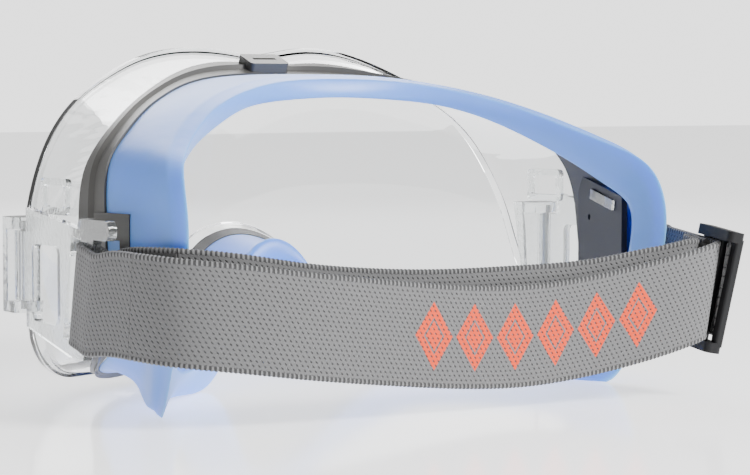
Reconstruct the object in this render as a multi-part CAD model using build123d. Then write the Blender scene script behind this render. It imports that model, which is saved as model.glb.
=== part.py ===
from build123d import *
import math
import os

# Sports protective goggles: a clear wrap-around lens shell in a hard grey carrier frame, a soft
# blue face seal behind it, a clear strap clip hinged on each side, and an adjustable elastic strap
# with a three-bar slide buckle.
#
# Millimetres. +X is the wearer's left, -Y is the way the wearer looks, +Z is up. The origin is in
# the middle of the footprint, on the surface that the goggles stand on.

os.makedirs("parts", exist_ok=True)

# ---------------------------------------------------------------- driving sizes
HALF_WIDTH = 83.0           # half the width of the carrier frame at the temples
LENS_HEIGHT = 98.0          # highest point of the lens above the standing surface
BODY_DEPTH = 125.3          # front of the lens to the rearmost edge of the face seal
LENS_REACH = 74.3           # front of the lens ahead of the origin
LENS_RADIUS = 113.0         # radius of the spherical front of the lens
LENS_MIDDLE = 50.0          # height of the foremost point of the lens
LENS_WALL = 2.2             # thickness of the lens, front and side walls
FRAME_WALL = 3.0            # thickness of the carrier frame
FRAME_STEP = 0.6            # how far the frame stands proud of the lens and the seal
FRAME_RIB = 1.0             # height of the rib that runs round the frame
SEAL_WALL = 2.2             # thickness of the soft face seal
JOINT_GAP = 0.1             # assembly gap between the rings, taken up by the adhesive

STRAP_WIDTH = 27.5
STRAP_THICKNESS = 1.4
STRAP_GAP = 0.3             # clearance between webbing and what it runs through

CLIP_PLATE = 2.4            # thickness of the strap clip
CLIP_LENGTH = 47.0          # hinge axis to the rear edge of the strap clip
CLIP_RAIL = 2.4             # rail above and below the strap slot
CLIP_BAR = 6.0              # width of the bar that the strap goes round
CLIP_SLOT = 7.5             # length of the strap slot
REST_LEFT = 0.0             # degrees that the left clip stands out from straight back at rest
REST_RIGHT = -3.5           # the right clip is pulled in by the strap
BAR_LEAN = 12.0             # degrees that the strap bar leans back at its top
HINGE_SETBACK = -24.0       # hinge axis, along Y
HINGE_STANDOFF = 5.6        # hinge axis out from the side of the frame
BARREL_RADIUS = 2.6
PIN_RADIUS = 1.0
RUNNING_FIT = 0.08          # radial clearance of the pin in the clip's barrel
HINGE_GAP = 0.4             # clearance above and below the barrel
BARREL_LOW, BARREL_HIGH = 28.0, 47.0
LUG_HEIGHT = 3.2            # lugs of the pivot housing above and below the barrel

BUCKLE_LENGTH = 18.0
BUCKLE_BAR = 3.0
BUCKLE_THICKNESS = 2.6
BUCKLE_CAP = 2.9            # end caps above and below the webbing
BUCKLE_LEAN = 10.0          # degrees that the buckle leans out at its top

# ---------------------------------------------------------------- outlines, right half
# Each ring runs from the middle of the brow, round the temple and the cheek, to the middle of the
# nose bridge. Shares of HALF_WIDTH, of BODY_DEPTH behind the front of the lens, and of LENS_HEIGHT.
LENS_EDGE = [
    (0.000, 0.986), (0.220, 1.003), (0.452, 0.973), (0.631, 0.904), (0.763, 0.831), (0.865, 0.737),
    (0.939, 0.617), (0.988, 0.490), (1.012, 0.367), (1.034, 0.240), (1.024, 0.128), (0.934, 0.061),
    (0.759, 0.037), (0.566, 0.037), (0.410, 0.097), (0.313, 0.214), (0.235, 0.327), (0.127, 0.412),
    (0.000, 0.437)]
FRAME_EDGE = [
    (0.000, 0.235, 0.917), (0.214, 0.270, 0.912), (0.412, 0.350, 0.891), (0.590, 0.461, 0.855),
    (0.759, 0.577, 0.805), (0.887, 0.657, 0.741), (0.970, 0.705, 0.671), (1.000, 0.733, 0.561),
    (1.000, 0.737, 0.439), (0.986, 0.721, 0.306), (0.945, 0.673, 0.184), (0.900, 0.561, 0.117),
    (0.814, 0.433, 0.070), (0.641, 0.310, 0.049), (0.448, 0.214, 0.082), (0.311, 0.158, 0.199),
    (0.205, 0.114, 0.312), (0.108, 0.082, 0.373), (0.000, 0.070, 0.396)]
SEAL_RIM = [
    (0.000, 0.555, 0.905), (0.217, 0.577, 0.898), (0.410, 0.633, 0.871), (0.578, 0.705, 0.827),
    (0.717, 0.789, 0.767), (0.824, 0.876, 0.711), (0.896, 0.960, 0.645), (0.913, 1.000, 0.541),
    (0.913, 1.000, 0.439), (0.906, 0.960, 0.286), (0.898, 0.900, 0.133), (0.880, 0.832, 0.004),
    (0.747, 0.657, 0.000), (0.602, 0.561, 0.003), (0.422, 0.449, 0.005), (0.289, 0.370, 0.082),
    (0.181, 0.314, 0.230), (0.090, 0.274, 0.316), (0.000, 0.266, 0.345)]
SEAL_LIP = [
    (0.000, 0.569, 0.849), (0.205, 0.580, 0.842), (0.386, 0.613, 0.822), (0.542, 0.669, 0.776),
    (0.675, 0.717, 0.714), (0.777, 0.781, 0.648), (0.849, 0.840, 0.587), (0.883, 0.896, 0.526),
    (0.889, 0.896, 0.439), (0.880, 0.872, 0.316), (0.843, 0.824, 0.204), (0.771, 0.753, 0.122),
    (0.651, 0.649, 0.087), (0.530, 0.545, 0.087), (0.398, 0.457, 0.102), (0.259, 0.370, 0.184),
    (0.154, 0.294, 0.291), (0.087, 0.262, 0.384), (0.000, 0.258, 0.414)]
# How far the carrier frame reaches forward from its rear edge at each station, as a share of the
# way to the edge of the lens.
FRAME_COVER = [0.45, 0.42, 0.30, 0.24, 0.22, 0.24, 0.28, 0.30, 0.30, 0.27, 0.22, 0.22, 0.28, 0.34,
               0.42, 0.42, 0.42, 0.42, 0.42]
# How far the middle of the seal's outer wall swells out from a straight wall, in millimetres. The
# wall is drawn in above the feet that the cheeks stand on.
SEAL_SWELL = [0.8, 0.8, 1.0, 1.4, 1.4, 1.2, 1.0, 0.8, 0.8, 0.6, -1.0, -3.4, -3.6, -2.0, -0.6,
              0.4, 0.4, 0.3, 0.3]


def on_lens(x, z):
    """The point of the outer face of the lens at a given x and z."""
    sagitta = LENS_RADIUS - math.sqrt(LENS_RADIUS ** 2 - x ** 2 - (z - LENS_MIDDLE) ** 2)
    return Vector(x, sagitta - LENS_REACH, z)


def sized(shares):
    """A half ring's shares as points in millimetres."""
    return [Vector(x * HALF_WIDTH, -LENS_REACH + y * BODY_DEPTH, z * LENS_HEIGHT)
            for x, y, z in shares]


def whole_ring(half):
    """The half ring and its mirror image as one closed ring of points."""
    return half + [Vector(-p.X, p.Y, p.Z) for p in reversed(half[1:-1])]


def outward(front, rear):
    """Unit normals, pointing out, of the wall between two closed rings."""
    count = len(front)
    normals = []
    for k in range(count):
        along = front[(k + 1) % count] - front[k - 1] + rear[(k + 1) % count] - rear[k - 1]
        normals.append(along.cross(rear[k] - front[k]).normalized())
    return normals


def moved(points, normals, distance):
    return [p + n * distance for p, n in zip(points, normals)]


def between(first, second, share):
    return [a + (b - a) * share for a, b in zip(first, second)]


def both_sides(half):
    """A half ring's list of numbers, for the whole ring."""
    return half + half[-2:0:-1]


def band(rails, closed):
    """A solid whose section corners follow the rails, with ruled faces from rail to rail."""
    edges = [Edge.make_spline(rail, periodic=closed) for rail in rails]
    faces = [Face.make_surface_from_curves(edges[i - 1], edges[i]) for i in range(len(edges))]
    if not closed:
        for end in (0, -1):
            corners = [rail[end] for rail in rails]
            faces.append(Face(Wire.make_polygon(corners, close=True)))
    solid = Solid(Shell(faces))
    if solid.volume < 0:
        solid = Solid(Shell([-face for face in faces]))
    return solid


def save(name, shape):
    export_step(shape, "parts/" + name + ".step")


def mirrored(shape):
    return mirror(shape, about=Plane.YZ)


# ---------------------------------------------------------------- rings shared by the shells
lens_half = [on_lens(x * HALF_WIDTH, z * LENS_HEIGHT) for x, z in LENS_EDGE]
lens_edge = whole_ring(lens_half)
frame_edge = whole_ring(sized(FRAME_EDGE))
seal_rim = whole_ring(sized(SEAL_RIM))
seal_lip = whole_ring(sized(SEAL_LIP))
shell_normals = outward(lens_edge, frame_edge)
seal_normals = outward(frame_edge, seal_rim)
joint_normals = [(a + b).normalized() for a, b in zip(shell_normals, seal_normals)]
frame_front = [j + (f - j) * c for j, f, c in zip(
    frame_edge, lens_edge, both_sides(FRAME_COVER))]

# ---------------------------------------------------------------- lens
# Injection-moulded clear polycarbonate: a spherical front with a side wall all round.
front_shell = Sphere(LENS_RADIUS) - Sphere(LENS_RADIUS - LENS_WALL)
front_shell = Pos(0, LENS_RADIUS - LENS_REACH, LENS_MIDDLE) * front_shell
front_outline = Edge.make_spline([Vector(p.X, -LENS_RADIUS, p.Z) for p in lens_edge], periodic=True)
front_prism = Solid.extrude(Face(Wire([front_outline])), Vector(0, LENS_RADIUS, 0))
front_plate = front_shell & front_prism
WALL_INSET = 0.3            # the side wall starts this far inside the outline of the front
WALL_BURY = 1.0             # and this far behind the outer face
rearward = [(j - f).normalized() for f, j in zip(lens_edge, frame_edge)]
wall_front = moved(moved(lens_edge, rearward, WALL_BURY), shell_normals, -WALL_INSET)
wall_rear = moved(moved(frame_front, shell_normals, -WALL_INSET), rearward, -JOINT_GAP)
lens_wall = band([
    wall_front, wall_rear,
    moved(wall_rear, shell_normals, -LENS_WALL), moved(wall_front, shell_normals, -LENS_WALL)], True)
lens = front_plate + lens_wall
save("lens", lens)

# ---------------------------------------------------------------- carrier frame
# Hard grey moulding that grips the lens in front and carries the soft seal behind.
rib_front = between(frame_front, frame_edge, 0.40)
rib_rear = between(frame_front, frame_edge, 0.62)
frame_ring = band([
    moved(frame_front, shell_normals, FRAME_STEP),
    moved(rib_front, shell_normals, FRAME_STEP),
    moved(between(rib_front, rib_rear, 0.5), shell_normals, FRAME_STEP + FRAME_RIB),
    moved(rib_rear, shell_normals, FRAME_STEP),
    moved(frame_edge, joint_normals, FRAME_STEP),
    moved(frame_edge, joint_normals, FRAME_STEP - FRAME_WALL),
    moved(frame_front, shell_normals, FRAME_STEP - FRAME_WALL)], True)

# ---------------------------------------------------------------- face seal
# Soft translucent blue elastomer: an outer wall and a flange curled in against the face.
joint_run = [(a + b).normalized() for a, b in zip(
    rearward, [(r - j).normalized() for j, r in zip(frame_edge, seal_rim)])]
seal_front = moved(frame_edge, joint_run, JOINT_GAP)
wall_run = [(r - j).normalized() for j, r in zip(seal_front, seal_rim)]
flange_run = [(q - r).normalized() for r, q in zip(seal_rim, seal_lip)]
rim_inner = [r + (b - a) * SEAL_WALL for r, a, b in zip(seal_rim, wall_run, flange_run)]
lip_inner = [q - a * SEAL_WALL for q, a in zip(seal_lip, wall_run)]
wall_middle = [p + n * swell for p, n, swell in zip(
    between(seal_front, seal_rim, 0.5), seal_normals, both_sides(SEAL_SWELL))]
seal = band([
    seal_front, wall_middle, seal_rim, seal_lip, lip_inner, rim_inner,
    moved(wall_middle, seal_normals, -SEAL_WALL), moved(seal_front, joint_normals, -SEAL_WALL)], True)
# Both cheeks of the seal stand flat on the floor.
seal -= Box(4 * HALF_WIDTH, 4 * HALF_WIDTH, 20, align=(Align.CENTER, Align.CENTER, Align.MAX))
save("face_seal", seal)

# ---------------------------------------------------------------- pieces on the frame
# Grey press-on clip that locks the top of the lens to the frame.
CLIP_ON_WIDTH, CLIP_ON_LENGTH, CLIP_ON_HEIGHT = 13.0, 9.0, 3.0
brow_middle = (frame_front[0] + frame_edge[0]) * 0.5
brow_plane = Plane(brow_middle, x_dir=(1, 0, 0), z_dir=shell_normals[0])
brow_block = Box(CLIP_ON_WIDTH, CLIP_ON_LENGTH, CLIP_ON_HEIGHT,
                 align=(Align.CENTER, Align.CENTER, Align.MIN))
brow_block = fillet(brow_block.edges().filter_by(Axis.Z), 1.2)
brow_slot = Pos(0, 0, CLIP_ON_HEIGHT) * Box(CLIP_ON_WIDTH * 0.6, 1.6, 2.0)
brow_clip = brow_plane * Pos(0, 0, FRAME_STEP + JOINT_GAP) * (brow_block - brow_slot) - frame_ring
save("brow_clip", brow_clip)

# A hard temple arm on each side of the frame runs back over the seal and ends in a small step.
ARM_LENGTH, ARM_HEIGHT, ARM_THICKNESS, ARM_TOP = 15.0, 7.0, 1.8, 53.5
ARM_ROOT = 4.0              # length of the arm that is merged with the frame
STEP_LENGTH, STEP_DROP = 4.0, 2.2
TEMPLE = 7                  # station of the rings at the middle of the temple
arm_start = frame_edge[TEMPLE]
arm_run = seal_rim[TEMPLE] - arm_start
arm_turn = math.degrees(math.atan2(-arm_run.X, arm_run.Y))
arm = Pos(0, -ARM_ROOT, 0) * Box(
    ARM_THICKNESS, ARM_LENGTH, ARM_HEIGHT, align=(Align.MIN, Align.MIN, Align.MAX))
arm += Pos(0, ARM_LENGTH - ARM_ROOT - STEP_LENGTH, -ARM_HEIGHT) * Box(
    ARM_THICKNESS, STEP_LENGTH, STEP_DROP, align=(Align.MIN, Align.MIN, Align.MAX))
arm_left = Pos(arm_start.X - FRAME_STEP, arm_start.Y, ARM_TOP) * Rot(0, 0, arm_turn) * arm - seal
arm_left = arm_left.solids().sort_by(SortBy.VOLUME)[-1]
frame = frame_ring + arm_left + mirrored(arm_left)
save("frame", frame)

# Slate-coloured panel inside each temple, with a slot that a clear catch shows through.
PANEL_THICKNESS = 1.8
PANEL_FRONT, PANEL_REAR = 3.0, 33.5
PANEL_TOP_FRONT, PANEL_TOP_REAR, PANEL_LOW = 60.0, 54.5, 32.0
CATCH_FRONT, CATCH_REAR, CATCH_HEIGHT, CATCH_DROP = 13.0, 28.5, 3.0, 3.6
VENT_HOLE = 0.9
panel_outline = Polyline(
    (PANEL_FRONT, PANEL_LOW), (PANEL_REAR, PANEL_LOW + 4), (PANEL_REAR, PANEL_TOP_REAR),
    (PANEL_FRONT, PANEL_TOP_FRONT), close=True)
catch_slope = math.degrees(math.atan2(PANEL_TOP_REAR - PANEL_TOP_FRONT, PANEL_REAR - PANEL_FRONT))
catch_middle = (CATCH_FRONT + CATCH_REAR) * 0.5
catch_top = PANEL_TOP_FRONT + (catch_middle - PANEL_FRONT) * math.tan(math.radians(catch_slope))
catch_place = Pos(catch_middle, catch_top - CATCH_DROP) * Rot(0, 0, catch_slope)
catch_shape = Rectangle(CATCH_REAR - CATCH_FRONT, CATCH_HEIGHT)
slot_shape = Rectangle(CATCH_REAR - CATCH_FRONT + 0.4, CATCH_HEIGHT + 0.4)
hole_shape = Pos(PANEL_FRONT + 8, PANEL_TOP_FRONT - 12.5) * Circle(VENT_HOLE)
panel_face = make_face(panel_outline) - catch_place * slot_shape - hole_shape
inner_temple = frame_edge[TEMPLE] - seal_normals[TEMPLE] * SEAL_WALL
inner_rear = seal_rim[TEMPLE] - seal_normals[TEMPLE] * SEAL_WALL
panel_turn = math.degrees(math.atan2(inner_temple.X - inner_rear.X, inner_rear.Y - inner_temple.Y))
PANEL_GAP = 1.9             # stand-off that keeps the flat panel clear of the curved wall


def on_temple(flat, thickness):
    """A flat shape drawn in Y and Z, given a thickness and laid on the inside of the left temple."""
    solid = extrude(Plane.YZ * Pos(-inner_temple.Y, 0) * flat, -thickness)
    return Pos(inner_temple.X - PANEL_GAP, inner_temple.Y, 0) * Rot(0, 0, panel_turn) * solid


panel_left = on_temple(panel_face, PANEL_THICKNESS) - seal - frame_ring - lens
catch_left = on_temple(catch_place * catch_shape, PANEL_THICKNESS + 0.8) - seal - frame_ring
save("temple_panel_left", panel_left)
save("temple_panel_right", mirrored(panel_left))
save("lens_catch_left", catch_left)
save("lens_catch_right", mirrored(catch_left))

# Clear latch loop on each side that hooks the lens to the frame.
LATCH_LENGTH, LATCH_HEIGHT, LATCH_THICKNESS, LATCH_BORDER = 17.0, 10.0, 1.6, 2.0
LATCH_MIDDLE_Y, LATCH_MIDDLE_Z = -16.0, 56.5
LATCH_SIDE = 81.6           # inner face of the latch from the symmetry plane
latch_face = RectangleRounded(LATCH_LENGTH, LATCH_HEIGHT, 1.5)
latch_face -= RectangleRounded(LATCH_LENGTH - 2 * LATCH_BORDER, LATCH_HEIGHT - 2 * LATCH_BORDER, 0.6)
latch_left = extrude(Plane.YZ * Pos(LATCH_MIDDLE_Y, LATCH_MIDDLE_Z) * latch_face, LATCH_THICKNESS)
latch_left = Pos(LATCH_SIDE, 0, 0) * latch_left - lens - frame_ring
save("lens_latch_left", latch_left)
save("lens_latch_right", mirrored(latch_left))

# ---------------------------------------------------------------- pivot housings and pins
hinge_x = HALF_WIDTH + HINGE_STANDOFF
housing_low, housing_high = BARREL_LOW - HINGE_GAP - LUG_HEIGHT, BARREL_HIGH + HINGE_GAP + LUG_HEIGHT
HOUSING_FRONT, HOUSING_REAR = 8.0, 3.2      # reach of the housing ahead of and behind the axis
HOUSING_OUT = 3.9                           # and outside it
housing_depth = HINGE_STANDOFF + HOUSING_OUT + 3.0
housing_block = Box(housing_depth, HOUSING_FRONT + HOUSING_REAR, housing_high - housing_low,
                    align=(Align.MAX, Align.MAX, Align.MIN))
housing_block = Pos(hinge_x + HOUSING_OUT, HINGE_SETBACK + HOUSING_REAR, housing_low) * housing_block
housing_block = fillet(housing_block.edges().filter_by(Axis.Z).sort_by(Axis.X)[-2:], 2.6)
barrel_room = BARREL_RADIUS + 0.5
pocket = Pos(hinge_x, HINGE_SETBACK, BARREL_LOW - HINGE_GAP) * Box(
    2 * HOUSING_OUT + 20, barrel_room + HOUSING_REAR + 1, BARREL_HIGH - BARREL_LOW + 2 * HINGE_GAP,
    align=(Align.CENTER, Align.MIN, Align.MIN))
pocket = Pos(0, -barrel_room, 0) * pocket
pin_line = Pos(hinge_x, HINGE_SETBACK, housing_low + 1.0)
pin_length = housing_high - housing_low - 2.0
pin = pin_line * Cylinder(PIN_RADIUS, pin_length, align=(Align.CENTER, Align.CENTER, Align.MIN))
housing_left = housing_block - pocket - lens - pin
housing_left = housing_left.solids().sort_by(SortBy.VOLUME)[-1]
save("pivot_housing_left", housing_left)
save("pivot_housing_right", mirrored(housing_left))
save("hinge_pin_left", pin)
save("hinge_pin_right", mirrored(pin))

# ---------------------------------------------------------------- strap clips
# Clear moulding that swings on the pin. Its own frame: the pin is the Z axis, +Y runs back along
# the plate, +X points away from the head.
plate_inner = -0.2
plate_outer = plate_inner + CLIP_PLATE
PLATE_START = 6.5           # the plate reaches its full height this far behind the pin
strap_middle = 31.75        # height of the middle of the webbing where it goes round the bar
bar_middle = CLIP_LENGTH - CLIP_BAR * 0.5
slot_height = STRAP_WIDTH + 2 * STRAP_GAP
rail_top = strap_middle + slot_height * 0.5 + CLIP_RAIL
rail_low = strap_middle - slot_height * 0.5 - CLIP_RAIL
lean_shift = math.tan(math.radians(BAR_LEAN)) * (rail_top - rail_low) * 0.5
plate_outline = Polyline(
    (PLATE_START, 53.5), (CLIP_LENGTH + lean_shift, rail_top), (CLIP_LENGTH - lean_shift, rail_low),
    (CLIP_LENGTH - 12, rail_low), (PLATE_START, 21.0), close=True)
plate_face = make_face(plate_outline)
WINDOW_FRONT, WINDOW_LENGTH, WINDOW_HEIGHT = 10.5, 17.0, 21.0
window = Pos(WINDOW_FRONT + WINDOW_LENGTH * 0.5, 33.5) * RectangleRounded(
    WINDOW_LENGTH, WINDOW_HEIGHT, 2.5)
slot = Pos(bar_middle - CLIP_BAR * 0.5 - CLIP_SLOT * 0.5, strap_middle) * Rectangle(
    CLIP_SLOT, slot_height)
slot = Pos(bar_middle, strap_middle) * Rot(0, 0, -BAR_LEAN) * Pos(-bar_middle, -strap_middle) * slot
plate = Pos(plate_inner, 0, 0) * extrude(Plane.YZ * (plate_face - window - slot), CLIP_PLATE)
web = Pos(plate_inner, 0, BARREL_LOW) * Box(
    CLIP_PLATE, PLATE_START + 2, BARREL_HIGH - BARREL_LOW,
    align=(Align.MIN, Align.MIN, Align.MIN))
barrel = Pos(0, 0, BARREL_LOW) * Cylinder(
    BARREL_RADIUS, BARREL_HIGH - BARREL_LOW, align=(Align.CENTER, Align.CENTER, Align.MIN))
bore = Cylinder(PIN_RADIUS + RUNNING_FIT, 200)
TAB_LENGTH, TAB_HEIGHT = 9.0, 5.2           # rounded finger tab above the strap
tab_shape = Pos(CLIP_LENGTH + lean_shift + TAB_LENGTH * 0.5 - 5, rail_top + 1.4) * RectangleRounded(
    TAB_LENGTH + 10, TAB_HEIGHT, 2.5)
tab = Pos(plate_inner, 0, 0) * extrude(Plane.YZ * tab_shape, CLIP_PLATE)
clip = plate + web + barrel + tab - bore


def at_hinge(shape, rest):
    """Places a shape from the strap clip's own frame on the left side, at a rest angle."""
    return Pos(hinge_x, HINGE_SETBACK, 0) * Rot(0, 0, -rest) * shape


save("strap_clip_left", at_hinge(clip, REST_LEFT))
save("strap_clip_right", mirrored(at_hinge(clip, REST_RIGHT)))

# ---------------------------------------------------------------- strap
# One length of knitted elastic. Round each clip's bar it is a loop that swings with the clip.
half_strap = STRAP_THICKNESS * 0.5
ply_out = plate_outer + STRAP_GAP + half_strap
ply_in = plate_inner - STRAP_GAP - half_strap
LOOP_REACH = 6.5            # how far behind the bar's middle the loop swings with the clip
SWING_GAP = 0.6             # gap between that loop and the rest of the strap
turn_middle, turn_radius = (ply_out + ply_in) * 0.5, (ply_out - ply_in) * 0.5
turn_at = -CLIP_BAR * 0.5 + CLIP_PLATE * 0.25
loop_outer = Circle(turn_radius + half_strap) - Circle(turn_radius - half_strap)
loop_outer = Pos(turn_middle, turn_at) * (
    loop_outer & Pos(0, -turn_radius - 5) * Rectangle(50, 2 * turn_radius + 10))
leg = Rectangle(STRAP_THICKNESS, LOOP_REACH - turn_at, align=(Align.CENTER, Align.MIN))
loop_face = loop_outer + Pos(ply_out, turn_at) * leg + Pos(ply_in, turn_at) * leg
loop = extrude(Pos(0, 0, -STRAP_WIDTH * 0.5) * loop_face, STRAP_WIDTH)
loop = Pos(0, bar_middle, strap_middle) * Rot(-BAR_LEAN, 0, 0) * loop
save("strap_loop_left", at_hinge(loop, REST_LEFT))
save("strap_loop_right", mirrored(at_hinge(loop, REST_RIGHT)))


def webbing(route):
    """Webbing along a route of (x, y, z of the middle, top's lean in x, top's lean in y)."""
    middles = [Vector(x, y, z) for x, y, z, lean_x, lean_y in route]
    ups = [Vector(lean_x, lean_y, 1).normalized() for x, y, z, lean_x, lean_y in route]
    rails = [[], [], [], []]
    for k, (middle, up) in enumerate(zip(middles, ups)):
        ahead, behind = middles[min(k + 1, len(middles) - 1)], middles[max(k - 1, 0)]
        out = (ahead - behind).cross(up).normalized() * half_strap
        rise = up * (STRAP_WIDTH * 0.5)
        for rail, corner in zip(rails, (rise + out, rise - out, -rise - out, -rise + out)):
            rail.append(middle + corner)
    return band(rails, False)


def behind_clip(across, rest):
    """Where the webbing starts behind the left clip's loop, at a distance across the clip."""
    leave = bar_middle + (LOOP_REACH + SWING_GAP) / math.cos(math.radians(BAR_LEAN))
    spot = Vector(across, leave, 0).rotate(Axis.Z, -rest)
    return hinge_x + spot.X, HINGE_SETBACK + spot.Y


bar_slant = math.tan(math.radians(BAR_LEAN))
left_out_x, left_out_y = behind_clip(ply_out, REST_LEFT)
left_in_x, left_in_y = behind_clip(ply_in, REST_LEFT)
right_out_x, right_out_y = behind_clip(ply_out, REST_RIGHT)
right_in_x, right_in_y = behind_clip(ply_in, REST_RIGHT)

# The buckle slides along a straight stretch of the strap that ends at its middle.
SLIDE_START = Vector(-84.2, 37.0, 32.5)
BUCKLE_AT = Vector(-80.4, 63.2, 30.0)
run = (BUCKLE_AT - SLIDE_START).normalized()
run_out = Vector(-run.Y, run.X, 0).normalized()
lean_out = math.tan(math.radians(BUCKLE_LEAN))


def on_run(share, aside=0.0):
    """A station of the straight stretch, and of a ply that lies beside it."""
    spot = SLIDE_START + (BUCKLE_AT - SLIDE_START) * share - run_out * aside
    return spot.X, spot.Y, spot.Z, run_out.X * lean_out, run_out.Y * lean_out


outer_route = [
    (left_out_x, left_out_y, strap_middle, 0, bar_slant),
    (left_out_x - 1.5, left_out_y + 6, strap_middle - 0.4, 0, bar_slant * 0.8),
    (87.2, 44, 30.9, 0, 0.1), (80.5, 53.0, 30.0, 0, 0), (68, 59.5, 28.5, 0, 0), (50, 62.5, 26.0, 0, 0),
    (28, 62.5, 23.2, 0, 0), (4, 62, 20.6, 0, 0), (-20, 62, 19.6, 0, 0), (-44, 64, 22.0, 0, 0.02),
    (-62, 67.6, 25.8, -0.03, 0.04), (-71.5, 69.2, 28.2, -0.08, 0.06), (-77.0, 68.6, 29.5, -0.14, 0.04),
    on_run(1.06), on_run(0.94), on_run(0.7), on_run(0.4), on_run(0.1),
    (-right_out_x + 0.9, right_out_y + 4.5, strap_middle + 0.1, -0.08, bar_slant * 0.8),
    (-right_out_x, right_out_y, strap_middle, 0, bar_slant)]
save("strap_outer_run", webbing(outer_route))
inner_route = [
    (left_in_x, left_in_y, strap_middle, 0, bar_slant),
    (left_in_x - 0.6, left_in_y + 6, strap_middle + 0.2, 0, bar_slant * 0.7),
    (84.4, 42.0, 32.2, 0, 0.05), (79.0, 50.8, 32.2, 0, 0), (67, 56.6, 31.0, 0, 0),
    (50, 58.2, 28.2, 0, 0), (28, 56.5, 25.6, 0, 0), (4, 56, 24.3, 0, 0), (-20, 57, 24.4, 0, 0),
    (-44, 59.5, 25.6, 0, 0.02), (-60, 62.6, 28.2, -0.03, 0.03), (-68.5, 63.6, 29.8, -0.08, 0.04),
    (-74.4, 62.4, 30.8, -0.14, 0.03)]
save("strap_inner_run", webbing(inner_route))
# The other end of the strap, sewn to the inside of the run behind the right clip.
PLY_STEP = STRAP_THICKNESS + 0.15           # distance between the middles of two sewn plies
tail_route = [
    (-right_in_x, right_in_y, strap_middle, 0, bar_slant),
    (-right_in_x + 0.1, right_in_y + 3.5, strap_middle + 0.1, -0.04, bar_slant * 0.8),
    on_run(0.0, PLY_STEP), on_run(0.08, PLY_STEP)]
save("strap_far_tail", webbing(tail_route))

# ---------------------------------------------------------------- buckle
# Black three-bar slide. Its own frame: +Y along the strap to the rear, +X outward, +Z up.
cap_gap = STRAP_WIDTH * 0.5 + 0.5
bar_inner = half_strap + STRAP_GAP
cap_inner = -bar_inner - 0.5
cap_outer = bar_inner + BUCKLE_THICKNESS
cap = Box(cap_outer - cap_inner, BUCKLE_LENGTH, BUCKLE_CAP, align=(Align.MIN, Align.CENTER, Align.MIN))
cap = fillet(cap.edges().filter_by(Axis.Z), 1.6)
top_cap = Pos(cap_inner, 0, cap_gap) * cap
buckle = top_cap + mirror(top_cap, about=Plane.XY)
bar = Box(BUCKLE_THICKNESS, BUCKLE_BAR, 2 * cap_gap + 2, align=(Align.MIN, Align.CENTER, Align.CENTER))
bar = fillet(bar.edges().filter_by(Axis.Z), 0.8)
bar_reach = (BUCKLE_LENGTH - BUCKLE_BAR) * 0.5
for along in (-bar_reach, 0, bar_reach):
    buckle += Pos(bar_inner, along, 0) * bar
buckle_turn = math.degrees(math.atan2(-run.X, run.Y))
buckle_pitch = math.degrees(math.asin(run.Z))


def at_buckle(shape):
    """Places a shape from the buckle's own frame on the strap."""
    placed = Rot(buckle_pitch, 0, 0) * mirrored(Rot(0, BUCKLE_LEAN, 0) * shape)
    return Pos(BUCKLE_AT) * Rot(0, 0, buckle_turn) * placed


save("slide_buckle", at_buckle(buckle))

# Webbing over the buckle's centre bar, and the folded, sewn end of the strap beside it.
over = bar_inner + BUCKLE_THICKNESS + STRAP_GAP
half_span = bar_reach - BUCKLE_BAR * 0.5 - STRAP_GAP
crossing_face = Pos(over, 0) * Rectangle(
    STRAP_THICKNESS, 2 * half_span, align=(Align.MIN, Align.CENTER))
crossing_leg = Rectangle(over - bar_inner + 0.2, STRAP_THICKNESS, align=(Align.MIN, Align.MAX))
crossing_face += Pos(bar_inner, half_span) * crossing_leg
crossing_face += Pos(bar_inner, -half_span + STRAP_THICKNESS) * crossing_leg
crossing = extrude(Pos(0, 0, -STRAP_WIDTH * 0.5) * crossing_face, STRAP_WIDTH)
save("strap_crossing", at_buckle(crossing))
FOLD_PLIES, FOLD_LENGTH = 2, 10.0
FOLD_AHEAD = 5.5            # middle of the fold ahead of the centre bar
fold_face = -half_strap - STRAP_GAP         # side of the fold towards the run it slides along
fold = Pos(fold_face, 0, 0) * Box(
    FOLD_PLIES * STRAP_THICKNESS, FOLD_LENGTH, STRAP_WIDTH, align=(Align.MAX, Align.CENTER, Align.CENTER))
fold = fillet(fold.edges().filter_by(Axis.Z), 0.6)
save("strap_end_fold", at_buckle(Pos(0, -FOLD_AHEAD, 0) * fold))
# Small folded size tag sewn into the end of the fold.
TAG_LENGTH, TAG_HEIGHT, TAG_THICKNESS = 3.0, 5.0, 0.8
tag = Pos(fold_face - STRAP_THICKNESS, -FOLD_AHEAD - FOLD_LENGTH * 0.5, 6.0) * Box(
    TAG_THICKNESS, TAG_LENGTH, TAG_HEIGHT, align=(Align.CENTER, Align.MAX, Align.CENTER))
save("size_tag", at_buckle(tag))
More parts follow.
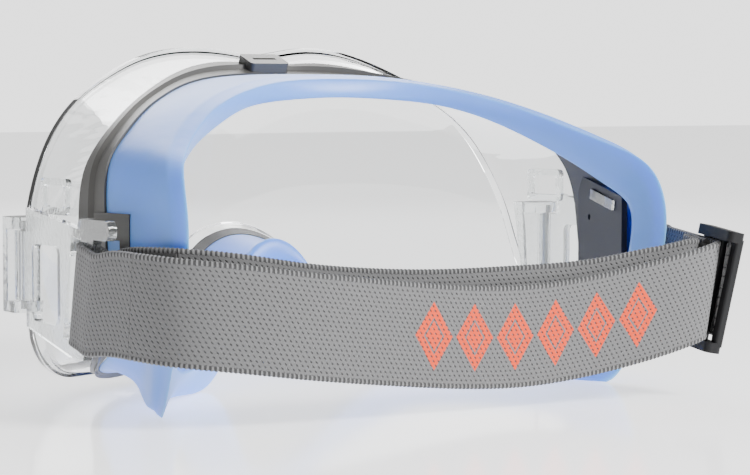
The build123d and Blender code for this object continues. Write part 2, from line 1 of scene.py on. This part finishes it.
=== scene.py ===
import math
import bpy
import numpy as np
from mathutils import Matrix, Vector


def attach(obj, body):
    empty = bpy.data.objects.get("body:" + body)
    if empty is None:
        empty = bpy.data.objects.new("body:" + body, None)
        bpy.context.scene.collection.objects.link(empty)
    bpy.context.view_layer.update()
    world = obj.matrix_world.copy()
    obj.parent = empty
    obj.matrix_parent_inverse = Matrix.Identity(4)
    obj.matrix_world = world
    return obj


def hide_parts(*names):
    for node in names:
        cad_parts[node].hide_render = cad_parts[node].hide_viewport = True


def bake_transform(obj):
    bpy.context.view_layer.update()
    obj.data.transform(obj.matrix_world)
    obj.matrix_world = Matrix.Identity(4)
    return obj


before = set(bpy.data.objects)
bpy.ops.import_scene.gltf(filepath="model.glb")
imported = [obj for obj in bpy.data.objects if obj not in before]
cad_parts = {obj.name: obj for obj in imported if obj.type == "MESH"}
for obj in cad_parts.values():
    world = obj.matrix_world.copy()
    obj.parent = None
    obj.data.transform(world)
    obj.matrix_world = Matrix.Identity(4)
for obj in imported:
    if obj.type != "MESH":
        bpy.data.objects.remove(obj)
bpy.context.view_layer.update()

# ================================================================ camera, light and floor
# The goggles stand on a pale, slightly polished table in soft daylight, seen from behind and a
# little to the wearer's left.
VIEW_FROM = Vector((0.3406, 0.5732, 0.0850))
VIEW_TO = Vector((-0.00718, 0.00439, 0.04333))
camera_data = bpy.data.cameras.new("camera")
camera_data.lens = 112.1
camera_data.sensor_width = 36
camera = bpy.data.objects.new("camera", camera_data)
camera.location = VIEW_FROM
camera.rotation_euler = (VIEW_FROM - VIEW_TO).to_track_quat("Z", "Y").to_euler()
bpy.context.collection.objects.link(camera)
bpy.context.scene.camera = camera

world = bpy.data.worlds.new("daylight")
world.use_nodes = True
bpy.context.scene.world = world
BACKDROP_GLOW, ROOM_LIGHT = 2.3, 0.6
path = world.node_tree.nodes.new("ShaderNodeLightPath")
seen = world.node_tree.nodes.new("ShaderNodeMath")
seen.operation = "MAXIMUM"
glow = world.node_tree.nodes.new("ShaderNodeMapRange")
glow.inputs["To Min"].default_value = ROOM_LIGHT
glow.inputs["To Max"].default_value = BACKDROP_GLOW
sky = world.node_tree.nodes["Background"]
sky.inputs["Color"].default_value = (1, 1, 1, 1)
world.node_tree.links.new(path.outputs["Is Camera Ray"], seen.inputs[0])
world.node_tree.links.new(path.outputs["Is Transmission Ray"], seen.inputs[1])
world.node_tree.links.new(seen.outputs[0], glow.inputs["Value"])
world.node_tree.links.new(glow.outputs[0], sky.inputs["Strength"])


def window(name, place, aim, size, power):
    """A square soft light."""
    data = bpy.data.lights.new(name, "AREA")
    data.size = size
    data.energy = power
    lamp = bpy.data.objects.new(name, data)
    lamp.location = place
    lamp.rotation_euler = (Vector(place) - Vector(aim)).to_track_quat("Z", "Y").to_euler()
    bpy.context.collection.objects.link(lamp)


window("key", (-0.45, 0.70, 0.60), (0, 0.03, 0.04), 0.35, 20.0)
window("back", (-0.3, -0.8, 0.6), (0, -0.05, 0.06), 0.6, 8.0)


def mesh_object(name, points, faces):
    """A mesh from points in millimetres."""
    mesh = bpy.data.meshes.new(name)
    mesh.from_pydata([tuple(p) for p in np.asarray(points, float) * 0.001], [], faces)
    mesh.update()
    for polygon in mesh.polygons:
        polygon.use_smooth = True
    made = bpy.data.objects.new(name, mesh)
    bpy.context.collection.objects.link(made)
    return made


def plain(name, colour, roughness, **sockets):
    """A material of one colour. Other sockets are named with underscores for spaces."""
    made = bpy.data.materials.new(name)
    made.use_nodes = True
    shader = made.node_tree.nodes["Principled BSDF"]
    shader.inputs["Base Color"].default_value = (*colour, 1)
    shader.inputs["Roughness"].default_value = roughness
    for socket, value in sockets.items():
        shader.inputs[socket.replace("_", " ")].default_value = value
    return made


floor = mesh_object("floor", [(-4000, -4000, -0.1), (4000, -4000, -0.1), (4000, 4000, -0.1),
                              (-4000, 4000, -0.1)], [(0, 1, 2, 3)])
floor.data.materials.append(plain("table", (0.93, 0.93, 0.94), 0.12, Specular_IOR_Level=0.5,
                                Emission_Color=(1, 1, 1, 1), Emission_Strength=1.1))


# ================================================================ lens
# A spherical clear polycarbonate shell with a side wall all round. Injection moulded and polished.
CRISP_ANGLE = 28            # degrees; sharper edges stay crisp


def dress(made, *nodes):
    """Gives the hard pieces a material and crisp edges."""
    for name in nodes:
        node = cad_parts[name]
        node.data.materials.clear()
        node.data.materials.append(made)
        split = node.modifiers.new("crisp edges", "EDGE_SPLIT")
        split.split_angle = math.radians(CRISP_ANGLE)


lens_material = plain("polished clear polycarbonate", (0.93, 0.94, 0.94), 0.015,
                      Transmission_Weight=1.0, IOR=1.45)
dress(lens_material, "lens")

# ================================================================ frame and brow clip
# Warm grey hard plastic with a fine moulded grain. The brow clip presses over the lens and frame.
def noise(tree, scale, detail=2.0):
    """Noise in the piece's own space, with scale in features to the metre."""
    place = tree.nodes.new("ShaderNodeTexCoord")
    node = tree.nodes.new("ShaderNodeTexNoise")
    node.inputs["Scale"].default_value = scale
    node.inputs["Detail"].default_value = detail
    tree.links.new(place.outputs["Object"], node.inputs["Vector"])
    return node.outputs["Fac"]


def bumped(made, height, distance, strength=1.0):
    """Raises a material's surface by a height output, in metres at height 1."""
    tree = made.node_tree
    node = tree.nodes.new("ShaderNodeBump")
    node.inputs["Distance"].default_value = distance
    node.inputs["Strength"].default_value = strength
    tree.links.new(height, node.inputs["Height"])
    tree.links.new(node.outputs[0], tree.nodes["Principled BSDF"].inputs["Normal"])


frame_material = plain("warm grey moulded plastic", (0.07, 0.068, 0.064), 0.4)
bumped(frame_material, noise(frame_material.node_tree, 3500), 0.00003)
dress(frame_material, "frame", "brow_clip")

# ================================================================ temple panels
# Panels on the inside of the grey frame at each temple, matte. Their near-black, blue-tinted
# colour is painted shade, tinted blue like the light off the seal.
painted_shade_panel_material = plain("matte grey plastic in painted shade", (0.016, 0.018, 0.028), 0.5,
                       Specular_IOR_Level=0.3)
dress(painted_shade_panel_material, "temple_panel_left", "temple_panel_right")

# ================================================================ clear hardware
# Latches, catches, pivot housings and strap clips: thick clear mouldings, a little frosted on the
# outside, with bright edges. Their grey tint is painted shade for the dark things seen through them.
clear_material = plain("frosted clear plastic", (0.80, 0.82, 0.82), 0.06,
                       Transmission_Weight=0.97, IOR=1.55)
bumped(clear_material, noise(clear_material.node_tree, 900), 0.00006)
dress(clear_material, "lens_latch_left", "lens_latch_right", "lens_catch_left", "lens_catch_right",
      "pivot_housing_left", "pivot_housing_right", "strap_clip_left", "strap_clip_right")

# ================================================================ hinge pins
# Drawn steel wire.
dress(plain("drawn steel", (0.6, 0.6, 0.6), 0.3, Metallic=1.0), "hinge_pin_left", "hinge_pin_right")

# ================================================================ buckle
# Matte black three-bar slide.
buckle_material = plain("matte black plastic", (0.006, 0.006, 0.007), 0.5,
                        Specular_IOR_Level=0.25)
bumped(buckle_material, noise(buckle_material.node_tree, 5000), 0.00003)
dress(buckle_material, "slide_buckle")


# ================================================================ face seal
# Soft translucent blue elastomer, moulded in one piece: an outer wall that swells a little, a
# crease, and a rolled flange that curls in against the face. Bonded into the back of the frame.
def through(rail, stations=None, count=None):
    """Points of a smooth curve through a rail: closed at ring stations, or open and evenly spaced."""
    closed = stations is not None
    p = np.asarray(rail, float)
    if closed:
        p = np.vstack([p, p[:1]])
    h = np.linalg.norm(np.diff(p[:, :3], axis=0), axis=1)
    t = np.concatenate([[0], np.cumsum(h)])
    n = len(t)
    left = np.zeros((n, n))
    right = np.zeros_like(p)
    for i in range(1, n - 1):
        left[i, i - 1:i + 2] = h[i - 1], 2 * (h[i - 1] + h[i]), h[i]
        right[i] = 6 * ((p[i + 1] - p[i]) / h[i] - (p[i] - p[i - 1]) / h[i - 1])
    left[0, 0] = left[-1, -1] = 1
    if closed:
        left[0, 0], left[0, 1], left[0, -2] = 2 * (h[-1] + h[0]), h[0], h[-1]
        right[0] = 6 * ((p[1] - p[0]) / h[0] - (p[0] - p[-2]) / h[-1])
        left[-1, 0] = -1
    bend = np.linalg.solve(left, right)
    s = np.interp(stations, np.arange(n), t) if closed else np.linspace(0, t[-1], count)
    k = np.clip(np.searchsorted(t, s, side="right") - 1, 0, n - 2)
    wide = h[k][:, None]
    b = (s - t[k])[:, None] / wide
    a = 1 - b
    return (a * p[k] + b * p[k + 1]
            + ((a ** 3 - a) * bend[k] + (b ** 3 - b) * bend[k + 1]) * wide ** 2 / 6)


def both_sides(half):
    """A half ring from the brow to the nose, and its mirror image, as one ring."""
    other = [(-x, y, z) for x, y, z in half[-2:0:-1]]
    return list(half) + other


# Half rings in millimetres, from the middle of the brow round the temple to the nose.
JOINT = [
    (0, -44.8, 89.9), (17.8, -40.5, 89.4), (34.2, -30.5, 87.3), (49, -16.5, 83.8), (63, -2, 78.9),
    (73.6, 8, 72.6), (80.5, 14, 65.8), (83, 17.5, 55), (83, 18, 43), (81.8, 16, 30), (78.4, 10, 18),
    (74.7, -4, 11.5), (67.6, -20, 6.9), (53.2, -35.5, 4.8), (37.2, -47.5, 8), (25.8, -54.5, 19.5),
    (17, -60, 30.6), (9, -64, 36.6), (0, -65.5, 38.8)]
RIM = [
    (0, -4.8, 88.7), (18, -2, 88), (34, 5, 85.4), (48, 14, 81), (59.5, 24.5, 75.2),
    (68.4, 35.5, 69.7), (74.4, 46, 63.2), (75.8, 51, 53), (75.8, 51, 43), (75.2, 46, 28),
    (74.5, 38.5, 13), (73, 30, 0.6), (62, 8, 0.6), (50, -4, 0.6), (35, -18, 0.8), (24, -28, 8),
    (15, -35, 22.5), (7.5, -40, 31), (0, -41, 33.8)]
LIP = [
    (0, -3, 83.2), (17, -1.6, 82.5), (32, 2.5, 80.6), (45, 9.5, 76), (56, 15.5, 70),
    (64.5, 23.5, 63.5), (70.5, 31, 57.5), (73.3, 38, 51.5), (73.8, 38, 43), (73, 35, 31),
    (70, 29, 20), (64, 20, 12), (54, 7, 8.5), (44, -6, 8.5), (33, -17, 10), (21.5, -28, 18),
    (12.8, -37.5, 28.5), (7.2, -41.5, 37.6), (0, -42, 40.6)]
SWELL = [0.8, 0.8, 1.0, 1.4, 1.4, 1.2, 1.0, 0.8, 0.8, 0.6, -1.0, -3.4, -3.6, -2.0, -0.6, 0.4, 0.4,
         0.3, 0.3]
SEAL_THICK = 2.2
RING_STEPS = 396
CREASE = 0.7                # how far the crease stands out of the wall


def unit(rows):
    return rows / np.linalg.norm(rows, axis=1)[:, None]


def ring_out(front, rear):
    """Outward normals of the wall between two rings."""
    along = (np.roll(front, -1, 0) - np.roll(front, 1, 0)
             + np.roll(rear, -1, 0) - np.roll(rear, 1, 0))
    return unit(np.cross(along, rear - front))


turns = np.linspace(0, 36, RING_STEPS, endpoint=False)
joint, rim, lip = (through(both_sides(half), stations=turns) for half in (JOINT, RIM, LIP))
out = ring_out(joint, rim)
swell = np.interp(turns, np.arange(37), SWELL + SWELL[-2::-1])[:, None]
back = unit(rim - joint)
curl = unit(lip - rim)
depth = np.linalg.norm(rim - joint, axis=1)[:, None]
middle = (joint + rim) / 2 + out * swell
crease_at = rim - back * np.minimum(6.5, depth * 0.3) + out * (CREASE + swell * 0.35)
inner_rim = rim + (curl - back) * SEAL_THICK
section = np.stack([
    joint + back * 0.15, joint + back * 0.18 + out * 0.02, (joint + middle) / 2 + out * swell * 0.25,
    middle, crease_at - back * 2.5, crease_at, crease_at + back * 2.0 - out * 0.5,
    rim - back * 0.5, rim + curl * 0.5, (rim + lip) / 2 + back * 0.35, lip - curl * 0.5,
    lip - back * 1.0 + curl * 0.1, lip - back * SEAL_THICK - curl * 0.4,
    (inner_rim + lip - back * SEAL_THICK) / 2, inner_rim,
    middle - out * SEAL_THICK, joint + back * 0.18 - out * SEAL_THICK,
    joint + back * 0.15 - out * (SEAL_THICK - 0.02)], axis=1)
for cut in range(2):
    ahead = np.roll(section, -1, 1)
    section = np.stack([section * 0.75 + ahead * 0.25, section * 0.25 + ahead * 0.75], axis=2)
    section = section.reshape(RING_STEPS, -1, 3)
section[:, :, 2] = np.maximum(section[:, :, 2], 0.0)
around = section.shape[1]
seal_faces = [
    (i * around + j, i * around + (j + 1) % around,
     (i + 1) % RING_STEPS * around + (j + 1) % around, (i + 1) % RING_STEPS * around + j)
    for i in range(RING_STEPS) for j in range(around)]
seal = mesh_object("soft_face_seal", section.reshape(-1, 3), seal_faces)
seal_material = plain("translucent blue elastomer", (0.13, 0.32, 0.90), 0.4,
                      Subsurface_Weight=0.55, Subsurface_Scale=0.006, Transmission_Weight=0.03)
seal_material.node_tree.nodes["Principled BSDF"].inputs["Subsurface Radius"].default_value = (
    0.35, 0.6, 1.0)
bumped(seal_material, noise(seal_material.node_tree, 160), 0.0003, 0.5)
seal.data.materials.append(seal_material)
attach(seal, "goggles")
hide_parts("face_seal")

# ================================================================ strap
# One length of knitted elastic webbing with a rolled, ladder-stitched hem along both edges. It is
# looped round the bar of each clip, doubled inside itself behind the head, and runs through the
# buckle. A row of woven lozenges decorates the outside.
STRAP_WIDE = 27.5
KNIT_COLUMN, KNIT_ROW = 1.55, 1.2
HEM = 1.3
HEM_STITCH = 1.25
WEAVE_STEP = 0.31
MOTIF_FROM, MOTIF_PITCH, MOTIF_COUNT = 79.0, 13.0, 6
LOZENGE_SLOPE, LOZENGE_HALF_HEIGHT = 2.2, 9.0
ORANGE = (0.72, 0.05, 0.001)


def calc(tree, operation, first, second=0.0, third=0.0):
    """A maths node. Each value is a number or another node's output."""
    node = tree.nodes.new("ShaderNodeMath")
    node.operation = operation
    for socket, value in zip(node.inputs, (first, second, third)):
        if hasattr(value, "links"):
            tree.links.new(value, socket)
        else:
            socket.default_value = value
    return node.outputs[0]


def ramp(tree, value, low, high):
    """0 where value is at low, 1 where it is at high."""
    node = tree.nodes.new("ShaderNodeMapRange")
    node.interpolation_type = "SMOOTHSTEP"
    tree.links.new(value, node.inputs["Value"])
    node.inputs["From Min"].default_value = low
    node.inputs["From Max"].default_value = high
    return node.outputs[0]


def mix(tree, share, first, second):
    """A blend of two colours, each a triple or another node's output."""
    node = tree.nodes.new("ShaderNodeMix")
    node.data_type = "RGBA"
    tree.links.new(share, node.inputs[0])
    for socket, value in ((node.inputs[6], first), (node.inputs[7], second)):
        if hasattr(value, "links"):
            tree.links.new(value, socket)
        else:
            socket.default_value = (*value, 1)
    return node.outputs[2]


def knit(name, light, motif=False):
    """Knitted webbing. The piece's UV holds millimetres along and across the strap."""
    made = plain(name, light, 0.85, Sheen_Weight=0.25)
    tree = made.node_tree
    uv = tree.nodes.new("ShaderNodeUVMap")
    split = tree.nodes.new("ShaderNodeSeparateXYZ")
    tree.links.new(uv.outputs[0], split.inputs[0])
    along, across = split.outputs[0], split.outputs[1]
    row = calc(tree, "DIVIDE", across, KNIT_ROW)
    odd = calc(tree, "MULTIPLY", calc(tree, "FLOOR", row), 0.42)
    column = calc(tree, "ADD", calc(tree, "DIVIDE", along, KNIT_COLUMN), odd)
    down = calc(tree, "SUBTRACT", calc(tree, "FRACT", row), 0.5)
    over = calc(tree, "SUBTRACT", calc(tree, "FRACT", column), 0.5)
    over = calc(tree, "MULTIPLY_ADD", down, 0.45, over)
    over = calc(tree, "MULTIPLY", over, KNIT_COLUMN)
    down = calc(tree, "MULTIPLY", down, KNIT_ROW)
    reach = calc(tree, "SQRT", calc(tree, "ADD", calc(tree, "MULTIPLY", over, over),
                                    calc(tree, "MULTIPLY", down, down)))
    # Holes of the knit: sunk in the bump, and darkened in the colour as painted shade.
    hole = ramp(tree, reach, 0.42, 0.1)
    edge = calc(tree, "ABSOLUTE", across)
    hem = ramp(tree, edge, STRAP_WIDE / 2 - HEM - 0.15, STRAP_WIDE / 2 - HEM + 0.15)
    rung = calc(tree, "FRACT", calc(tree, "DIVIDE", along, HEM_STITCH))
    rung = ramp(tree, calc(tree, "ABSOLUTE", calc(tree, "SUBTRACT", rung, 0.5)), 0.16, 0.3)
    # The dark tone is painted shade for the knit's holes and the gaps between hem stitches.
    painted_shade_tone = tuple(c * 0.30 for c in light)
    # The bright tone is a painted highlight on the raised hem stitches.
    painted_highlight_tone = tuple(c * 1.35 for c in light)
    colour = light
    if motif:
        place = calc(tree, "DIVIDE", calc(tree, "SUBTRACT", along, MOTIF_FROM), MOTIF_PITCH)
        inside = calc(tree, "MULTIPLY", calc(tree, "GREATER_THAN", place, 0.0),
                      calc(tree, "LESS_THAN", place, float(MOTIF_COUNT)))
        middle_off = calc(tree, "ABSOLUTE", calc(tree, "SUBTRACT", calc(tree, "FRACT", place), 0.5))
        from_middle = calc(tree, "ADD", calc(tree, "MULTIPLY", middle_off, LOZENGE_SLOPE),
                           calc(tree, "DIVIDE", edge, LOZENGE_HALF_HEIGHT))
        lozenge = ramp(tree, from_middle, 1.02, 0.98)
        heart = calc(tree, "ABSOLUTE", calc(tree, "SUBTRACT", from_middle, 0.5))
        heart = ramp(tree, heart, 0.04, 0.06)
        lozenge = calc(tree, "MULTIPLY", calc(tree, "MULTIPLY", lozenge, inside), heart)
        colour = mix(tree, lozenge, light, ORANGE)
    # Holes darkened with painted shade.
    colour = mix(tree, hole, colour, painted_shade_tone)
    # Hem stitches lighter with a painted highlight, the gaps between them darker with painted shade.
    ladder = mix(tree, rung, painted_highlight_tone, painted_shade_tone)
    colour = mix(tree, hem, colour, ladder)
    shade = calc(tree, "MULTIPLY_ADD", noise(tree, 2500, 3.0), 0.5, 0.75)
    tint = tree.nodes.new("ShaderNodeMix")
    tint.data_type = "RGBA"
    tint.blend_type = "MULTIPLY"
    tint.inputs[0].default_value = 1.0
    tree.links.new(colour, tint.inputs[6])
    tree.links.new(shade, tint.inputs[7])
    tree.links.new(tint.outputs[2], tree.nodes["Principled BSDF"].inputs["Base Color"])
    body = calc(tree, "SUBTRACT", 1.0, hole)
    ticks = calc(tree, "MULTIPLY_ADD", calc(tree, "SUBTRACT", 1.0, rung), 1.0, 0.2)
    height = calc(tree, "ADD", calc(tree, "MULTIPLY", body, calc(tree, "SUBTRACT", 1.0, hem)),
                  calc(tree, "MULTIPLY", ticks, hem))
    bumped(made, height, 0.0004)
    return made


# Half of the section: distance from the middle of the strap's edge inwards, and half thickness.
SECTION = [(0.0, 0.0), (0.05, 0.42), (0.3, 0.78), (0.8, 0.85), (1.3, 0.72), (1.6, 0.62), (2.2, 0.7),
           (4.5, 0.7), (7.0, 0.7), (10.0, 0.7), (13.75, 0.7)]


def ribbon(name, route, made, start=0.0):
    """Webbing along a route of (x, y, z, lean of its top in x, lean in y), in millimetres."""
    rough = through(route, count=400)
    long = np.linalg.norm(np.diff(rough[:, :3], axis=0), axis=1).sum()
    path = through(route, count=max(int(long / WEAVE_STEP), 12))
    up = unit(np.column_stack([path[:, 3:5], np.ones(len(path))]))
    middle_line = path[:, :3]
    ahead = unit(np.gradient(middle_line, axis=0))
    outward = unit(np.cross(ahead, up))
    gone = np.concatenate([[0], np.cumsum(np.linalg.norm(np.diff(middle_line, axis=0), axis=1))])
    half = STRAP_WIDE / 2
    low_side = [(-half + a, b) for a, b in SECTION]
    high_side = [(-v, b) for v, b in low_side[-2::-1]]
    outline = low_side + high_side
    outline += [(v, -b) for v, b in outline[-2:0:-1]]
    wave = 0.14 * np.sin(2 * math.pi * (gone + start) / HEM_STITCH)
    points, marks = [], []
    for v, w in outline:
        scallop = wave * np.sign(v) * max(0.0, 1 - (half - abs(v)) / 0.6)
        points.append(middle_line + up * (v + scallop)[:, None] + outward * w)
        marks.append(np.column_stack([gone + start, np.full(len(gone), v)]))
    points = np.stack(points, axis=1)
    marks = np.stack(marks, axis=1).reshape(-1, 2)
    rows, ring = points.shape[:2]
    faces = [(i * ring + j, (i + 1) * ring + j, (i + 1) * ring + (j + 1) % ring,
              i * ring + (j + 1) % ring) for i in range(rows - 1) for j in range(ring)]
    faces.append(tuple(range(ring)))
    faces.append(tuple((rows - 1) * ring + j for j in reversed(range(ring))))
    webbing = mesh_object(name, points.reshape(-1, 3), faces)
    layer = webbing.data.uv_layers.new(name="UVMap")
    corner = np.empty(len(webbing.data.loops), dtype=np.int32)
    webbing.data.loops.foreach_get("vertex_index", corner)
    layer.data.foreach_set("uv", marks[corner].astype(np.float32).ravel())
    webbing.data.materials.append(made)
    return webbing, start + gone[-1]


HINGE = (88.6, -24.0)
BAR_BACK, LEG_BACK = 44.0, 6.5
BAR_LEAN = math.radians(12)
REST_ANGLE = {1: 0.0, -1: math.radians(-3.5)}
BAR_HEIGHT = 31.75
PLY_OUT, PLY_IN = 3.2, -1.2
TURN_AHEAD = 2.4


def clip_station(side, across, behind):
    """A station of the loop: across the clip, and behind its bar along the webbing."""
    rest = REST_ANGLE[side]
    back_y = BAR_BACK + behind * math.cos(BAR_LEAN)
    x = HINGE[0] + across * math.cos(rest) + back_y * math.sin(rest)
    y = HINGE[1] - across * math.sin(rest) + back_y * math.cos(rest)
    z = BAR_HEIGHT - behind * math.sin(BAR_LEAN)
    return side * x, y, z, 0.0, math.tan(BAR_LEAN)


def bar_turn(side):
    """Stations from the inner leg, round the bar, to the outer leg."""
    radius = (PLY_OUT - PLY_IN) / 2
    centre = (PLY_OUT + PLY_IN) / 2
    stations = [clip_station(side, PLY_IN, b) for b in (LEG_BACK, 3.0, 0.0)]
    for k in range(7):
        angle = math.pi * k / 6
        stations.append(clip_station(
            side, centre - radius * math.cos(angle), -TURN_AHEAD - radius * math.sin(angle)))
    return stations + [clip_station(side, PLY_OUT, b) for b in (0.0, 3.0, LEG_BACK)]


grey = (0.13, 0.13, 0.132)
plain_knit = knit("grey knitted elastic", grey)
motif_knit = knit("grey knitted elastic with lozenges", grey, True)

# Straight stretch that the buckle slides along: its front end and the buckle's middle.
SLIDE_START = np.array([-84.2, 37.0, 32.5])
BUCKLE_AT = np.array([-80.4, 63.2, 30.0])
run = (BUCKLE_AT - SLIDE_START) / np.linalg.norm(BUCKLE_AT - SLIDE_START)
run_out = np.array([-run[1], run[0], 0]) / math.hypot(run[0], run[1])
LEAN_OUT = math.tan(math.radians(10))


def on_run(share, aside=0.0):
    spot = SLIDE_START + (BUCKLE_AT - SLIDE_START) * share - run_out * aside
    return (*spot, *(run_out[:2] * LEAN_OUT))


LEFT_OUTER_JOIN = (87.6, 42.5, 31.0, 0, 0.12)
LEFT_INNER_JOIN = (84.6, 42.0, 32.2, 0, 0.05)
left_route = ([(79.0, 50.8, 32.2, 0, 0.02), LEFT_INNER_JOIN,
               (clip_station(1, PLY_IN, 12)[0] - 0.6, 31.8, 31.2, 0, 0.15)]
              + bar_turn(1)
              + [(clip_station(1, PLY_OUT, 12)[0] - 1.2, 31.8, 30.9, 0, 0.16), LEFT_OUTER_JOIN])
left_loop, spare = ribbon("strap_left_loop", left_route, plain_knit)
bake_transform(left_loop)
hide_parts("strap_loop_left")

outer_route = [
    LEFT_OUTER_JOIN, (81.0, 52.8, 30.0, 0, 0.02), (68, 59.5, 28.5, 0, 0), (50, 62.5, 26.0, 0, 0),
    (28, 62.5, 23.2, 0, 0), (4, 62, 20.6, 0, 0), (-20, 62, 19.6, 0, 0), (-44, 64, 22.0, 0, 0.02),
    (-62, 67.6, 25.8, -0.03, 0.04), (-71.5, 69.2, 28.2, -0.08, 0.06),
    (-77.0, 68.6, 29.5, -0.14, 0.04), on_run(1.06), on_run(0.94), on_run(0.7), on_run(0.4),
    on_run(0.1)]
outer_strap, outer_end = ribbon("strap_outer", outer_route, motif_knit)
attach(outer_strap, "goggles")
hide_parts("strap_outer_run")

PLY_STEP = 1.6
right_route = (
    [on_run(0.1), (-86.6, 33.0, 32.4, -0.07, 0.17)]
    + bar_turn(-1)[::-1]
    + [(-84.4, 31.5, 31.8, -0.03, 0.17), on_run(0.0, PLY_STEP), on_run(0.08, PLY_STEP)])
right_loop, spare = ribbon("strap_right_loop", right_route, plain_knit, outer_end)
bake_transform(right_loop)
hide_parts("strap_loop_right", "strap_far_tail")

inner_route = [
    (79.0, 50.8, 32.2, 0, 0.02), (67, 56.6, 31.0, 0, 0), (50, 58.2, 28.2, 0, 0),
    (28, 56.5, 25.6, 0, 0), (4, 56, 24.3, 0, 0), (-20, 57, 24.4, 0, 0), (-44, 59.5, 25.6, 0, 0.02),
    (-58, 62.2, 27.9, -0.03, 0.03)]
inner_strap, inner_end = ribbon("strap_inner", inner_route, plain_knit, 3.0)
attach(inner_strap, "goggles")
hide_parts("strap_inner_run")

# ================================================================ strap at the buckle
# The free end of the inner run is folded twice and sewn; the strap crosses over the centre bar.
def at_buckle(along, aside, lean=LEAN_OUT):
    """A station beside the buckle, forward of its centre bar and towards the head."""
    spot = BUCKLE_AT - run * along - run_out * aside
    return (*spot, *(run_out[:2] * lean))


fold_route = [
    (-58, 62.2, 27.9, -0.03, 0.03), (-66.5, 63.4, 29.3, -0.08, 0.04), (-73.2, 63.0, 30.2, -0.12, 0.03),
    at_buckle(1.5, 4.6), at_buckle(6.0, 3.6), at_buckle(9.6, 3.3)]
fold_tail, spare = ribbon("strap_fold_outer_ply", fold_route, plain_knit, inner_end)
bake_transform(fold_tail)
inner_ply, spare = ribbon("strap_fold_inner_ply", [
    at_buckle(10.0, 3.1), at_buckle(10.5, 2.5), at_buckle(10.0, 1.8), at_buckle(6.0, 1.75),
    at_buckle(1.0, 1.75)], plain_knit, 0.4)
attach(inner_ply, "buckle")
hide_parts("strap_end_fold")

over = 0.7 + 0.3 + 2.6 + 0.3 + 0.7
crossing, spare = ribbon("strap_crossing_ply", [
    at_buckle(5.6, -1.3), at_buckle(5.4, -3.2), at_buckle(3.6, -over), at_buckle(0, -over),
    at_buckle(-3.6, -over), at_buckle(-5.4, -3.2), at_buckle(-5.6, -1.3)], plain_knit, 0.2)
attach(crossing, "buckle")
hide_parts("strap_crossing")

# ================================================================ size tag
# A scrap of red ribbon, folded and caught in the seam.
dress(plain("red ribbon", (0.5, 0.03, 0.025), 0.8, Sheen_Weight=0.2), "size_tag")
